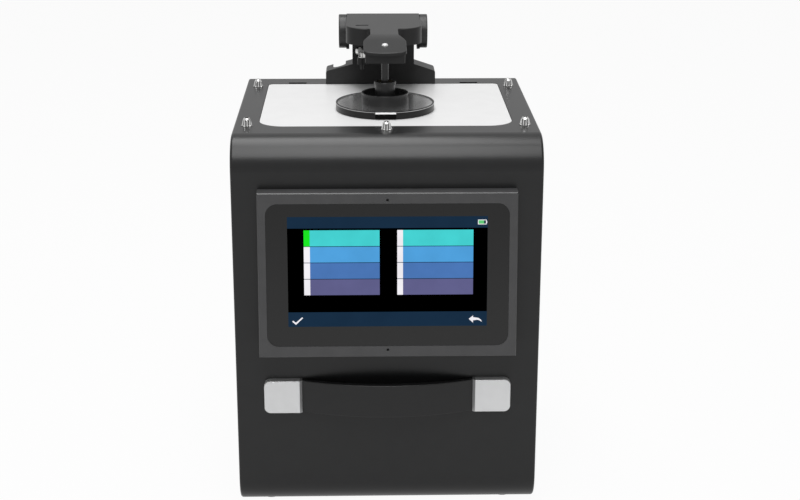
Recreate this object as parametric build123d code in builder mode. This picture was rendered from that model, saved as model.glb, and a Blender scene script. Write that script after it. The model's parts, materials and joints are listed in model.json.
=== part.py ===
from build123d import *
import os
from math import cos, radians, sin, sqrt, tan

os.makedirs("parts", exist_ok=True)

# A benchtop spectrophotometer that measures upwards through a port in its top. Millimetres, +Z up,
# the front faces -Y. The origin is on the bench, under the middle of the whole object.

# Case
body_width = 240.0
body_depth = 231.0
body_height = 307.0
wall = 2.5
side_wall = 4.5
roll_radius = 25.0
edge_fillet = 2.0
seam = 0.4
fit_gap = 0.1

# Side panels, rear panel and the screws that hold them
side_border = 6.0
side_land = 10.0
side_panel_thickness = 2.0
rear_panel_thickness = 2.5
rear_flange = 11.0
panel_screw_radius = 1.5
panel_screw_head_radius = 2.9
panel_screw_head = 1.2
vent_width = 70.0
vent_height = 3.0
vent_pitch = 8.0
vent_count = 8
vent_drop = 50.0

# Feet
foot_radius = 9.0
foot_height = 3.5
foot_inset = 24.0
front_foot_depth = 34.0
rear_foot_inset = 26.0
foot_screw_radius = 2.0
foot_screw_head_radius = 4.0
foot_screw_head = 1.4
foot_recess = 2.2

# Screen: a wedge-shaped frame on the case's front, its glass and what lies behind it
bezel_side_border = 20.5
bezel_top_drop = 38.0
bezel_height = 128.5
bezel_top_reach = 12.1
bezel_tilt = 5.6
bezel_edge = 1.2
glass_width = 186.1
glass_height = 111.8
glass_corner = 9.0
glass_thickness = 1.8
glass_recess = 0.3
glass_drop = 64.3
lcd_width = 166.0
lcd_height = 97.0
lcd_thickness = 7.5
lcd_gap = 1.0
display_board_width = 150.0
display_board_height = 80.0
board_thickness = 1.6
pinhole_radius = 1.1
pinhole_depth = 3.0
pinhole_inset = 3.0
bezel_screw_inset = 3.2
bezel_screw_drop = 7.0
bezel_screw_grip = 2.2

# Carrying handle on the front
handle_drop = 207.6
strap_height = 27.0
strap_span = 135.3
strap_reach = 17.0
strap_end_reach = 4.0
strap_middle_thickness = 5.5
strap_end_thickness = 3.6
strap_tab = 20.0
strap_edge = 1.0
bracket_length = 30.1
bracket_height = 27.4
bracket_reach = 6.3
bracket_corner = 5.0
bracket_edge = 0.8
bracket_lip = 2.0
handle_screw_radius = 2.0
handle_screw_pitch = 15.0
handle_screw_inset = 4.5
handle_screw_grip = 4.0

# Stage on the top, its frame below it, and the measuring axis
axis_lead = 6.2
stage_side_border = 19.5
stage_front = 47.2
stage_rear_border = 22.0
stage_thickness = 2.2
stage_front_corner = 20.0
stage_rear_corner = 4.5
stage_frame_front = 28.0
stage_frame_thickness = 3.0
stage_frame_opening = 45.0
lift_notch_length = 15.6
lift_notch_depth = 5.5
lift_notch_inset = 25.0
aperture_radius = 12.7
aperture_ring_radius = 28.0
top_screw_inset = 10.5
top_screw_front = 49.5
top_screw_rear_inset = 33.0
middle_screw_depth = 35.3
top_screw_radius = 2.0
top_screw_head_radius = 3.5
top_screw_head = 5.3
top_screw_washer_radius = 4.8
top_screw_washer = 1.2
top_screw_reach = 6.0

# Integrating sphere and its optics
sphere_radius = 76.0
sphere_wall = 3.0
sphere_flange = 7.0
sphere_flange_thickness = 3.0
port_wall = 2.0
port_neck_radius = 24.0
port_bore_radius = 14.5
cradle_radius = 46.0
cradle_wall = 6.0
deck_drop = 172.0
deck_thickness = 4.0
deck_side_gap = 13.0
deck_front = 34.0
deck_rear_gap = 25.0
pillar_radius = 5.0
pillar_inset = 7.0
view_angle = 8.0
lens_tube_radius = 9.0
lens_tube_bore = 5.5
lens_radius = 7.0
lens_thickness = 4.0
lamp_elevation = 24.0
lamp_radius = 14.0
lamp_rear_gap = 10.0
lamp_wall = 2.0
lamp_port_radius = 8.0
flash_radius = 5.0
flash_share = 0.65
spectro_width = 120.0
spectro_depth = 100.0
spectro_height = 52.0
spectro_wall = 3.0
slit_radius = 2.0
grating_width = 30.0
grating_height = 30.0
grating_thickness = 8.0

# Boards and battery on the base tray
tray_thickness = 2.0
tray_flange = 12.0
tray_front = 30.0
standoff_height = 8.0
standoff_radius = 3.0
standoff_inset = 5.0
main_board_width = 130.0
main_board_depth = 110.0
board_gap = 4.0
main_board_centre = 117.0
chip_height = 2.5
power_board_width = 52.0
power_board_depth = 70.0
power_board_centre = 140.0
coil_height = 16.0
battery_depth = 60.0
battery_height = 42.0
battery_corner = 4.0
battery_gap = 2.0
battery_centre = 68.0

# Sockets and switch in the rear panel
socket_rise = 34.0
jack_x = 72.0
jack_body_radius = 7.0
jack_flange_radius = 9.0
jack_flange = 1.5
jack_bore_radius = 4.0
jack_pin_radius = 1.2
jack_length = 13.0
usb_x = 36.0
usb_width = 8.4
usb_height = 7.8
usb_shell = 1.6
usb_tongue_width = 5.6
usb_tongue_height = 3.0
usb_length = 14.0
usb_reach = 0.6
serial_x = -6.0
serial_width = 17.0
serial_height = 8.8
serial_corner = 2.6
serial_shell = 0.8
serial_reach = 4.6
serial_flange_width = 31.0
serial_flange_height = 12.6
serial_flange = 1.0
serial_post_x = 12.5
serial_post_radius = 2.2
serial_pin_radius = 0.5
serial_pin_pitch = 2.7
serial_depth = 9.0
switch_x = -76.0
switch_width = 15.0
switch_height = 25.0
switch_lip = 2.0
switch_flange = 1.2
switch_depth = 18.0
rocker_width = 9.0
rocker_height = 19.0
rocker_tilt = 9.0
rocker_depth = 6.0
rocker_rise = 2.4
rocker_pin_radius = 1.0
rocker_swing_gap = 1.0

# Hinge bracket with its column
hinge_inset = 9.0
hinge_rise = 44.4
base_left = 50.4
base_right = 45.7
base_depth = 23.2
shoulder_end = 11.4
shoulder_rise = 17.7
shoulder_corner = 2.5
column_width = 54.0
column_rise = 36.0
knuckle_radius = 10.8
damper_length = 24.0
damper_radius = 8.5
damper_gap = 0.3
pin_radius = 4.0
running_gap = 0.04
bush_radius = 5.5
bush_length = 12.0
notch_width = 11.0
notch_depth = 17.0
notch_x = 38.6
bracket_screw_x = 20.0
bracket_screw_grip = 6.0

# Wing bolt in its lug
bolt_x = 18.6
bolt_reach = 9.4
bolt_radius = 2.0
bolt_tip = 15.0
hub_radius = 3.4
hub_height = 4.2
wing_top = 35.2
wing_span = 17.6
wing_thickness = 2.4
wing_root_radius = 3.0
wing_tip_radius = 3.0
bolt_turn = 58.0
lug_bottom = 19.4
lug_top = 25.6
lug_width = 8.4

# Press arm
arm_wall = 2.5
arm_edge = 1.0
head_rise = 52.8
head_tilt = 12.0
head_front = 17.2
head_back = 18.7
head_width = 35.0
head_height = 9.6
head_bow = 2.9
head_corner = 4.5
head_plate = 2.4
lip_side = 1.3
lip_front = 2.9
lip_corner = 2.0
arm_slope = 1.0
arm_bend_radius = 100.0
neck_width = 23.8
flare_start = 9.7
flare_end = 25.3
flare_corner = 6.0
neck_corner = 3.0
crossbar_front = 50.3
crossbar_rear_margin = 8.0
crossbar_width = 64.6
crossbar_height = 14.5
crossbar_corner = 16.0
cheek_radius = 14.6
cheek_drop = 1.2
cap_radius = 14.7
cap_thickness = 6.5
cap_edge = 0.8
pin_seat = 4.0
arm_slot_length = 10.8
arm_slot_width = 3.0
arm_slot_x = 18.5
arm_slot_depth = 65.5

# Rod and press
rod_radius = 3.0
rod_top_drop = 2.2
boss_radius = 7.0
rod_screw_radius = 2.8
rod_screw_height = 3.4
rod_screw_dome = 2.0
press_gap = 0.1
disc_radius = 40.4
disc_height = 6.0
disc_lip = 1.4
disc_dish = 0.6
sheet_radius = 37.0
sheet_thickness = 1.8
sheet_reach = 0.2
cup_radius = 19.2
cup_wall = 1.2
cup_top = 13.9
sleeve_radius = 8.3
sleeve_lip_radius = 9.0
sleeve_lip = 2.4
sleeve_bore = 5.75
sleeve_top = 23.0
sleeve_mouth = 7.2
sleeve_bush_drop = 2.0
sleeve_bush_height = 2.6
collar_radius = 5.4
collar_height = 2.0
spring_radius = 5.0
spring_wall = 1.0
tab_width = 16.6
tab_reach = 40.6
tab_depth = 3.0
tab_rise = 0.9
tab_height = 3.4
strip_height = 1.2
strip_depth = 1.5

# Places that follow from the sizes above
tilt_sin = sin(radians(bezel_tilt))
tilt_cos = cos(radians(bezel_tilt))
bezel_foot_reach = bezel_top_reach + bezel_height * tan(radians(bezel_tilt))
bezel_reach = bezel_foot_reach - bezel_edge * ((1 + tilt_sin) / tilt_cos - 1)
rear_overhang = cap_radius - hinge_inset
front_y = bezel_reach - (bezel_reach + body_depth + rear_overhang) / 2
back_y = front_y + body_depth
bottom_z = foot_height
top_z = foot_height + body_height
floor_z = bottom_z + wall
tray_top_z = floor_z + tray_thickness
frame_top_z = top_z - wall
frame_bottom_z = frame_top_z - stage_frame_thickness
stage_z = frame_top_z + stage_thickness
inner_width = body_width - 2 * side_wall
rear_flange_y = back_y - rear_panel_thickness
inner_rear_y = rear_flange_y - wall
axis_y = front_y + body_depth / 2 - axis_lead
hinge_y = back_y - hinge_inset
hinge_z = top_z + hinge_rise
base_front_y = back_y - base_depth
handle_z = top_z - handle_drop
bezel_top_z = top_z - bezel_top_drop
bezel_foot_z = bezel_top_z - bezel_height

stage_width = body_width - 2 * stage_side_border
stage_rear = body_depth - stage_rear_border
lift_notch_x = stage_width / 2 - lift_notch_inset
bezel_width = body_width - 2 * bezel_side_border

foot_places = [
    (side * (body_width / 2 - foot_inset), y)
    for side in (-1, 1)
    for y in (front_y + front_foot_depth, back_y - rear_foot_inset)
]
top_screw_places = [
    (side * (body_width / 2 - top_screw_inset), y)
    for side in (-1, 1)
    for y in (front_y + top_screw_front, back_y - top_screw_rear_inset)
]
top_screw_places.append((0, front_y + middle_screw_depth))
bracket_screw_places = [(side * bracket_screw_x, back_y - base_depth / 2) for side in (-1, 1)]
handle_screw_x = strap_span / 2 + bracket_length - handle_screw_inset
handle_screw_places = [
    (side * handle_screw_x, handle_z + end * handle_screw_pitch / 2)
    for side in (-1, 1)
    for end in (-1, 1)
]
bezel_screw_x = bezel_width / 2 - bezel_screw_inset
bezel_screw_places = [
    (side * bezel_screw_x, z)
    for side in (-1, 1)
    for z in (bezel_top_z - bezel_screw_drop, bezel_foot_z + bezel_screw_drop)
]
side_screw_inset = side_border + side_land / 2
side_screw_places = [
    (front_y + roll_radius, bottom_z + side_screw_inset),
    (back_y - side_screw_inset, bottom_z + side_screw_inset),
    (front_y + side_screw_inset, bottom_z + body_height / 2),
    (back_y - side_screw_inset, bottom_z + body_height / 2),
    (front_y + roll_radius, top_z - side_screw_inset),
    (back_y - side_screw_inset, top_z - side_screw_inset),
]
rear_screw_x = inner_width / 2 - rear_flange / 2
rear_screw_places = [
    (side * rear_screw_x, z)
    for side in (-1, 1)
    for z in (floor_z + rear_flange / 2, bottom_z + body_height / 2, frame_top_z - rear_flange / 2)
]


def facing_front(y):
    """The upright plane at y: local x is +X, local y is +Z, and its normal is -Y."""
    return Plane.XZ.offset(-y)


def side_outline(inset, rear, x):
    """The case seen from the side, shrunk by inset, running back to y = rear, on the plane at x."""
    depth = rear - front_y - inset
    with BuildSketch(Plane.YZ.offset(x)) as outline:
        with Locations((front_y + inset + depth / 2, bottom_z + body_height / 2)):
            Rectangle(depth, body_height - 2 * inset)
        fillet(outline.vertices().group_by(Axis.X)[0], roll_radius - inset)
    return outline.sketch


def stage_outline(gap, z):
    """The stage plate's outline, grown by gap, at height z."""
    with BuildSketch(Plane.XY.offset(z)) as outline:
        with Locations((0, front_y + (stage_front + stage_rear) / 2)):
            Rectangle(stage_width + 2 * gap, stage_rear - stage_front + 2 * gap)
        fillet(outline.vertices().group_by(Axis.Y)[0], stage_front_corner + gap)
        fillet(outline.vertices().group_by(Axis.Y)[-1], stage_rear_corner + gap)
    return outline.sketch


def screw(radius, length, head_radius, head):
    """A screw whose head stands on z = 0, with a six-sided socket; its shank hangs below."""
    with BuildPart() as shape:
        Cylinder(head_radius, head, align=(Align.CENTER, Align.CENTER, Align.MIN))
        Cylinder(radius, length, align=(Align.CENTER, Align.CENTER, Align.MAX))
        with BuildSketch(Plane.XY.offset(head)):
            RegularPolygon(head_radius * 0.5, 6)
        extrude(amount=-head * 0.6, mode=Mode.SUBTRACT)
    return shape.part


# Case skin: front, top and underside in one piece, with a border round each side opening
with BuildPart() as wrap_cover:
    extrude(side_outline(0, back_y, -body_width / 2), amount=body_width)
    ends = wrap_cover.faces().sort_by(Axis.X)
    rims = ends[0].edges() + ends[-1].edges()
    fillet([rim for rim in rims if rim.center().Y < back_y - seam], edge_fillet)
    extrude(side_outline(wall, back_y + wall, -inner_width / 2), amount=inner_width,
            mode=Mode.SUBTRACT)
    # Rebates for the side panels, then the openings that they cover
    for side in (-1, 1):
        extrude(side_outline(side_border, back_y - side_border, side * body_width / 2),
                amount=-side * side_panel_thickness, mode=Mode.SUBTRACT)
    window_inset = side_border + side_land
    extrude(side_outline(window_inset, back_y - window_inset, -body_width / 2),
            amount=body_width, mode=Mode.SUBTRACT)
    # Flange that the rear panel is screwed to
    with BuildSketch(facing_front(rear_flange_y)):
        with Locations((0, bottom_z + body_height / 2)):
            Rectangle(inner_width, body_height - 2 * wall)
            Rectangle(inner_width - 2 * rear_flange, body_height - 2 * wall - 2 * rear_flange,
                      mode=Mode.SUBTRACT)
        with Locations(*rear_screw_places):
            Circle(panel_screw_radius + fit_gap, mode=Mode.SUBTRACT)
    extrude(amount=wall)
    # Opening for the stage plate, with a lifting notch near each of its rear corners
    extrude(stage_outline(seam, top_z), amount=-wall, mode=Mode.SUBTRACT)
    notch_y = front_y + stage_rear + lift_notch_depth / 2
    with BuildSketch(Plane.XY.offset(top_z)):
        with Locations((-lift_notch_x, notch_y), (lift_notch_x, notch_y)):
            Rectangle(lift_notch_length, lift_notch_depth)
        with Locations(*top_screw_places, *bracket_screw_places):
            Circle(top_screw_radius + fit_gap)
    extrude(amount=-wall, mode=Mode.SUBTRACT)
    with BuildSketch(Plane.XY.offset(bottom_z)):
        with Locations(*foot_places):
            Circle(foot_screw_radius + fit_gap)
    extrude(amount=wall, mode=Mode.SUBTRACT)
    # Front: the display's opening, and screw holes for the screen's frame and the handle
    with BuildSketch(facing_front(front_y)):
        with Locations(*handle_screw_places):
            Circle(handle_screw_radius + fit_gap)
        with Locations(*bezel_screw_places):
            Circle(panel_screw_radius + fit_gap)
        with Locations((0, (bezel_top_z + bezel_foot_z) / 2)):
            Rectangle(lcd_width + 2 * lcd_gap, lcd_height + 2 * lcd_thickness)
    extrude(amount=-wall, mode=Mode.SUBTRACT)
    for side in (-1, 1):
        with BuildSketch(Plane.YZ.offset(side * body_width / 2)):
            with Locations(*side_screw_places):
                Circle(panel_screw_radius + fit_gap)
        extrude(amount=-side * side_wall, mode=Mode.SUBTRACT)


def side_panel(side):
    """The flat panel of one side, flush in its rebate; side is -1 on the left, 1 on the right."""
    inset = side_border + seam
    outer_x = side * body_width / 2
    with BuildPart() as panel:
        extrude(side_outline(inset, back_y - inset, outer_x), amount=-side * side_panel_thickness)
        with BuildSketch(Plane.YZ.offset(outer_x)):
            with Locations(*side_screw_places):
                Circle(panel_screw_head_radius + fit_gap)
        extrude(amount=-side * panel_screw_head, mode=Mode.SUBTRACT)
        with BuildSketch(Plane.YZ.offset(outer_x)):
            with Locations(*side_screw_places):
                Circle(panel_screw_radius + fit_gap)
        extrude(amount=-side * side_panel_thickness, mode=Mode.SUBTRACT)
    return panel


side_panel_left = side_panel(-1)
side_panel_right = side_panel(1)

side_screw = screw(panel_screw_radius, side_wall - panel_screw_head,
                   panel_screw_head_radius, panel_screw_head)
side_seat_x = body_width / 2 - panel_screw_head
with BuildPart() as side_screws:
    with Locations(*[Location((side * side_seat_x, y, z), (0, side * 90, 0))
                     for side in (-1, 1) for y, z in side_screw_places]):
        add(side_screw)

# Rear panel with its vent and the cut-outs for the sockets and the switch
socket_z = bottom_z + socket_rise
with BuildPart() as rear_panel:
    with BuildSketch(facing_front(back_y)):
        with Locations((0, bottom_z + body_height / 2)):
            Rectangle(inner_width - 2 * seam, body_height - 2 * wall - 2 * seam)
        with Locations((0, top_z - vent_drop)):
            with GridLocations(0, vent_pitch, 1, vent_count):
                SlotOverall(vent_width, vent_height, mode=Mode.SUBTRACT)
        with Locations((jack_x, socket_z)):
            Circle(jack_body_radius + fit_gap, mode=Mode.SUBTRACT)
        with Locations((usb_x, socket_z)):
            Rectangle(usb_width + 2 * usb_shell + 2 * fit_gap,
                      usb_height + 2 * usb_shell + 2 * fit_gap, mode=Mode.SUBTRACT)
        with Locations((serial_x, socket_z)):
            RectangleRounded(serial_width + 2 * serial_shell + 2 * fit_gap,
                             serial_height + 2 * serial_shell + 2 * fit_gap,
                             serial_corner, mode=Mode.SUBTRACT)
        with Locations((switch_x, socket_z)):
            Rectangle(switch_width - 2 * switch_flange + 2 * fit_gap,
                      switch_height - 2 * switch_flange + 2 * fit_gap, mode=Mode.SUBTRACT)
        with Locations(*rear_screw_places):
            Circle(panel_screw_radius + fit_gap, mode=Mode.SUBTRACT)
    extrude(amount=rear_panel_thickness)
    with BuildSketch(facing_front(back_y)):
        with Locations(*rear_screw_places):
            Circle(panel_screw_head_radius + fit_gap)
    extrude(amount=panel_screw_head, mode=Mode.SUBTRACT)

rear_screw = screw(panel_screw_radius, rear_panel_thickness - panel_screw_head + wall,
                   panel_screw_head_radius, panel_screw_head)
with BuildPart() as rear_screws:
    with Locations(*[Location((x, back_y - panel_screw_head, z), (-90, 0, 0))
                     for x, z in rear_screw_places]):
        add(rear_screw)

# Feet and their screws
with BuildPart() as foot:
    Cylinder(foot_radius, foot_height, align=(Align.CENTER, Align.CENTER, Align.MIN))
    fillet(foot.edges().group_by(Axis.Z)[0], foot_recess / 4)
    Cylinder(foot_screw_head_radius + fit_gap, foot_recess, mode=Mode.SUBTRACT,
             align=(Align.CENTER, Align.CENTER, Align.MIN))
    Cylinder(foot_screw_radius + fit_gap, foot_height, mode=Mode.SUBTRACT,
             align=(Align.CENTER, Align.CENTER, Align.MIN))
with BuildPart() as feet:
    with Locations(*foot_places):
        add(foot.part)

foot_screw = screw(foot_screw_radius, tray_top_z - foot_recess,
                   foot_screw_head_radius, foot_screw_head)
with BuildPart() as foot_screws:
    with Locations(*[Location((x, y, foot_recess), (180, 0, 0)) for x, y in foot_places]):
        add(foot_screw)

# Base tray inside the case, with standoffs for the boards
board_z = tray_top_z + standoff_height
boards_width = main_board_width + board_gap + power_board_width
main_board_x = (main_board_width - boards_width) / 2
power_board_x = (boards_width - power_board_width) / 2
main_board_y = front_y + main_board_centre
power_board_y = front_y + power_board_centre
boards = [
    (main_board_x, main_board_y, main_board_width, main_board_depth),
    (power_board_x, power_board_y, power_board_width, power_board_depth),
]
tray_width = inner_width - 2 * seam
tray_front_y = front_y + tray_front
tray_rear_y = inner_rear_y - seam
tray_depth = tray_rear_y - tray_front_y
tray_y = (tray_rear_y + tray_front_y) / 2
with BuildPart() as base_tray:
    with BuildSketch(Plane.XY.offset(floor_z)):
        with Locations((0, tray_y)):
            Rectangle(tray_width, tray_depth)
        with Locations(*foot_places):
            Circle(foot_screw_radius + fit_gap, mode=Mode.SUBTRACT)
    extrude(amount=tray_thickness)
    with BuildSketch(Plane.XY.offset(floor_z)):
        for side in (-1, 1):
            with Locations((side * (tray_width - tray_thickness) / 2, tray_y)):
                Rectangle(tray_thickness, tray_depth)
    extrude(amount=tray_flange)
    with BuildSketch(Plane.XY.offset(tray_top_z)):
        for x, y, width, depth in boards:
            with Locations((x, y)):
                with GridLocations(width - 2 * standoff_inset, depth - 2 * standoff_inset, 2, 2):
                    Circle(standoff_radius)
    extrude(amount=standoff_height)

# Frame under the top, which carries the stage plate and takes the screws
with BuildPart() as stage_frame:
    with BuildSketch(Plane.XY.offset(frame_bottom_z)):
        frame_front_y = front_y + stage_frame_front
        frame_rear_y = inner_rear_y - seam
        with Locations((0, (frame_front_y + frame_rear_y) / 2)):
            Rectangle(inner_width - 2 * seam, frame_rear_y - frame_front_y)
        with Locations((0, axis_y)):
            Circle(stage_frame_opening, mode=Mode.SUBTRACT)
        with Locations(*top_screw_places, *bracket_screw_places):
            Circle(top_screw_radius + fit_gap, mode=Mode.SUBTRACT)
    extrude(amount=stage_frame_thickness)

with BuildPart() as stage_plate:
    extrude(stage_outline(0, frame_top_z), amount=stage_thickness)
    with Locations((0, axis_y, frame_top_z)):
        Cylinder(aperture_ring_radius + fit_gap, stage_thickness, mode=Mode.SUBTRACT,
                 align=(Align.CENTER, Align.CENTER, Align.MIN))

# Knurled socket screws with washers on the top frame
with BuildPart() as top_screw:
    Cylinder(top_screw_washer_radius, top_screw_washer,
             align=(Align.CENTER, Align.CENTER, Align.MIN))
    with Locations((0, 0, top_screw_washer)):
        add(screw(top_screw_radius, top_screw_washer, top_screw_head_radius, top_screw_head))
    Cylinder(top_screw_radius, top_screw_reach, align=(Align.CENTER, Align.CENTER, Align.MAX))
with BuildPart() as top_screws:
    with Locations(*[(x, y, top_z) for x, y in top_screw_places]):
        add(top_screw.part)

# Measuring port: the ring in the stage and the sphere below it
sphere_z = frame_top_z - port_wall - sphere_radius
sphere_outer = sphere_radius + sphere_wall
with BuildPart() as aperture_ring:
    with Locations((0, axis_y, frame_top_z)):
        Cylinder(aperture_ring_radius, stage_thickness,
                 align=(Align.CENTER, Align.CENTER, Align.MIN))
        Cylinder(aperture_radius, stage_thickness, mode=Mode.SUBTRACT,
                 align=(Align.CENTER, Align.CENTER, Align.MIN))
    port_rim = aperture_ring.edges().filter_by(GeomType.CIRCLE).group_by(Axis.Z)[0]
    chamfer(port_rim.sort_by(SortBy.RADIUS)[0], stage_thickness / 2)

sphere_centre = (0, axis_y, sphere_z)
lamp_rise = radians(lamp_elevation)
lamp_plane = Plane(origin=sphere_centre, x_dir=(1, 0, 0), z_dir=(0, cos(lamp_rise), sin(lamp_rise)))
view_rise = radians(view_angle)
port_centre = Vector(0, axis_y, stage_z)
view_plane = Plane(origin=port_centre, x_dir=(0, 1, 0), z_dir=(sin(view_rise), 0, -cos(view_rise)))


def sphere_half(side):
    """One half of the integrating sphere with its flange; side is 1 above the joint, -1 below."""
    inner_end = Align.MIN if side > 0 else Align.MAX
    outer_end = Align.MAX if side > 0 else Align.MIN
    with BuildPart() as half:
        with Locations(sphere_centre):
            Sphere(sphere_outer)
            Cylinder(sphere_outer + sphere_flange, sphere_flange_thickness,
                     align=(Align.CENTER, Align.CENTER, inner_end))
            if side > 0:
                Cylinder(port_neck_radius, sphere_radius + port_wall,
                         align=(Align.CENTER, Align.CENTER, Align.MIN))
            Sphere(sphere_radius, mode=Mode.SUBTRACT)
            Box(4 * sphere_outer, 4 * sphere_outer, 2 * sphere_outer, mode=Mode.SUBTRACT,
                align=(Align.CENTER, Align.CENTER, outer_end))
        if side > 0:
            with Locations((0, axis_y, frame_top_z)):
                Box(2 * sphere_outer, 2 * sphere_outer, sphere_outer, mode=Mode.SUBTRACT,
                    align=(Align.CENTER, Align.CENTER, Align.MIN))
                Cylinder(port_bore_radius, sphere_radius, mode=Mode.SUBTRACT,
                         align=(Align.CENTER, Align.CENTER, Align.MAX))
            with BuildSketch(lamp_plane):
                Circle(lamp_port_radius)
            extrude(amount=2 * sphere_outer, mode=Mode.SUBTRACT)
        else:
            with BuildSketch(view_plane):
                Circle(lens_tube_radius + fit_gap)
            extrude(amount=3 * sphere_outer, mode=Mode.SUBTRACT)
    return half


sphere_upper = sphere_half(1)
sphere_lower = sphere_half(-1)

# Light source on the back of the upper half, as long as the room behind it allows
lamp_room = inner_rear_y - axis_y - lamp_rear_gap - board_thickness - lamp_radius * sin(lamp_rise)
lamp_length = lamp_room / cos(lamp_rise) - sphere_outer
with BuildPart() as lamp_housing:
    with BuildSketch(lamp_plane):
        Circle(lamp_radius)
        Circle(lamp_radius - lamp_wall, mode=Mode.SUBTRACT)
    extrude(amount=sphere_outer + lamp_length)
    with Locations(sphere_centre):
        Sphere(sphere_outer, mode=Mode.SUBTRACT)

lamp_end = lamp_plane.offset(sphere_outer + lamp_length)
with BuildPart() as flash_lamp:
    with BuildSketch(lamp_end):
        Circle(lamp_radius)
    extrude(amount=board_thickness)
    with BuildSketch(lamp_end):
        Circle(flash_radius)
    extrude(amount=-flash_share * lamp_length)
    fillet(flash_lamp.faces().sort_by(Axis.Y)[0].edges(), flash_radius / 2)

# Deck that carries the optics, with its four pillars and the ring that holds the sphere
deck_top_z = top_z - deck_drop
deck_bottom_z = deck_top_z - deck_thickness
deck_width = body_width - 2 * deck_side_gap
deck_depth = body_depth - deck_front - deck_rear_gap
deck_y = front_y + deck_front + deck_depth / 2
pillar_x = deck_width / 2 - pillar_inset
with BuildPart() as optics_deck:
    with BuildSketch(Plane.XY.offset(deck_bottom_z)):
        with Locations((0, deck_y)):
            RectangleRounded(deck_width, deck_depth, pillar_radius)
    extrude(amount=deck_thickness)
    with BuildSketch(Plane.XY.offset(tray_top_z)):
        with Locations((0, deck_y)):
            with GridLocations(2 * pillar_x, deck_depth - 2 * pillar_inset, 2, 2):
                Circle(pillar_radius)
    extrude(amount=deck_bottom_z - tray_top_z)
    with BuildSketch(Plane.XY.offset(deck_top_z)):
        with Locations((0, axis_y)):
            Circle(cradle_radius)
            Circle(cradle_radius - cradle_wall, mode=Mode.SUBTRACT)
    extrude(amount=sphere_z - deck_top_z)
    with Locations(sphere_centre):
        Sphere(sphere_outer, mode=Mode.SUBTRACT)
    with BuildSketch(view_plane):
        Circle(lens_tube_radius + fit_gap)
    extrude(amount=4 * sphere_outer, mode=Mode.SUBTRACT)

# Lens tube that looks at the port from below, a few degrees off the upright
port_drop = stage_z - sphere_z
chord = sqrt(sphere_radius ** 2 - (port_drop * sin(view_rise)) ** 2)
tube_start = port_drop * cos(view_rise) + chord + seam
tube_end = (stage_z - deck_bottom_z - lens_tube_radius * sin(view_rise)) / cos(view_rise) - seam
with BuildPart() as lens_tube:
    with BuildSketch(view_plane.offset(tube_start)):
        Circle(lens_tube_radius)
        Circle(lens_tube_bore, mode=Mode.SUBTRACT)
    extrude(amount=tube_end - tube_start)
    with BuildSketch(view_plane.offset(tube_start)):
        Circle(lens_radius + fit_gap)
    extrude(amount=lens_thickness, mode=Mode.SUBTRACT)

with BuildPart() as collection_lens:
    with BuildSketch(view_plane.offset(tube_start)):
        Circle(lens_radius)
    extrude(amount=lens_thickness)
    fillet(collection_lens.edges().group_by(Axis.Z)[-1], lens_thickness / 5)

# Spectrometer under the deck: case, cover, grating and detector
spectro_bottom_z = deck_bottom_z - spectro_height
slit_x = (stage_z - deck_bottom_z) * tan(view_rise)
with BuildPart() as spectrometer_case:
    with Locations((0, axis_y, spectro_bottom_z)):
        Box(spectro_width, spectro_depth, spectro_height,
            align=(Align.CENTER, Align.CENTER, Align.MIN))
        Box(spectro_width - 2 * spectro_wall, spectro_depth - 2 * spectro_wall,
            spectro_height - spectro_wall, mode=Mode.SUBTRACT,
            align=(Align.CENTER, Align.CENTER, Align.MIN))
    with Locations((slit_x, axis_y, deck_bottom_z)):
        Cylinder(slit_radius, 4 * spectro_wall, mode=Mode.SUBTRACT)

with BuildPart() as spectrometer_cover:
    with BuildSketch(Plane.XY.offset(spectro_bottom_z)):
        with Locations((0, axis_y)):
            RectangleRounded(spectro_width, spectro_depth, spectro_wall)
    extrude(amount=-spectro_wall)

with BuildPart() as grating:
    grating_x = spectro_width / 2 - spectro_wall - grating_thickness / 2 - seam
    with BuildSketch(Plane.XY.offset(spectro_bottom_z)):
        with Locations((-grating_x, axis_y)):
            Rectangle(grating_thickness, grating_width)
    extrude(amount=grating_height)

with BuildPart() as detector_board:
    with BuildSketch(Plane.XY.offset(spectro_bottom_z)):
        with Locations((grating_x, axis_y)):
            Rectangle(board_thickness, grating_width + grating_height)
    extrude(amount=grating_height + spectro_wall)
    with BuildSketch(Plane.YZ.offset(grating_x - board_thickness / 2)):
        with Locations((axis_y, spectro_bottom_z + grating_height / 2)):
            Rectangle(grating_width, slit_radius * 4)
    extrude(amount=-chip_height)

# Boards on the tray's standoffs, and the battery

def circuit_board(x, y, width, depth, column_count, row_count, part_height):
    """A board with a grid of fitted components on its upper side."""
    with BuildPart() as board:
        with BuildSketch(Plane.XY.offset(board_z)):
            with Locations((x, y)):
                Rectangle(width, depth)
        extrude(amount=board_thickness)
        column_pitch = width / (column_count + 1)
        row_pitch = depth / (row_count + 1)
        with BuildSketch(Plane.XY.offset(board_z + board_thickness)):
            with Locations((x, y)):
                with GridLocations(column_pitch, row_pitch, column_count, row_count):
                    Rectangle(column_pitch * 0.6, row_pitch * 0.6)
        extrude(amount=part_height)
    return board


main_board = circuit_board(*boards[0], 4, 3, chip_height)
power_board = circuit_board(*boards[1], 2, 2, coil_height)

battery_left = main_board_x + main_board_width / 2 + board_gap
battery_right = pillar_x - pillar_radius - battery_gap
with BuildPart() as battery_pack:
    with BuildSketch(Plane.XY.offset(tray_top_z)):
        with Locations(((battery_left + battery_right) / 2, front_y + battery_centre)):
            RectangleRounded(battery_right - battery_left, battery_depth, battery_corner)
    extrude(amount=battery_height)
    fillet(battery_pack.edges().group_by(Axis.Z)[-1], battery_corner / 2)

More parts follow.
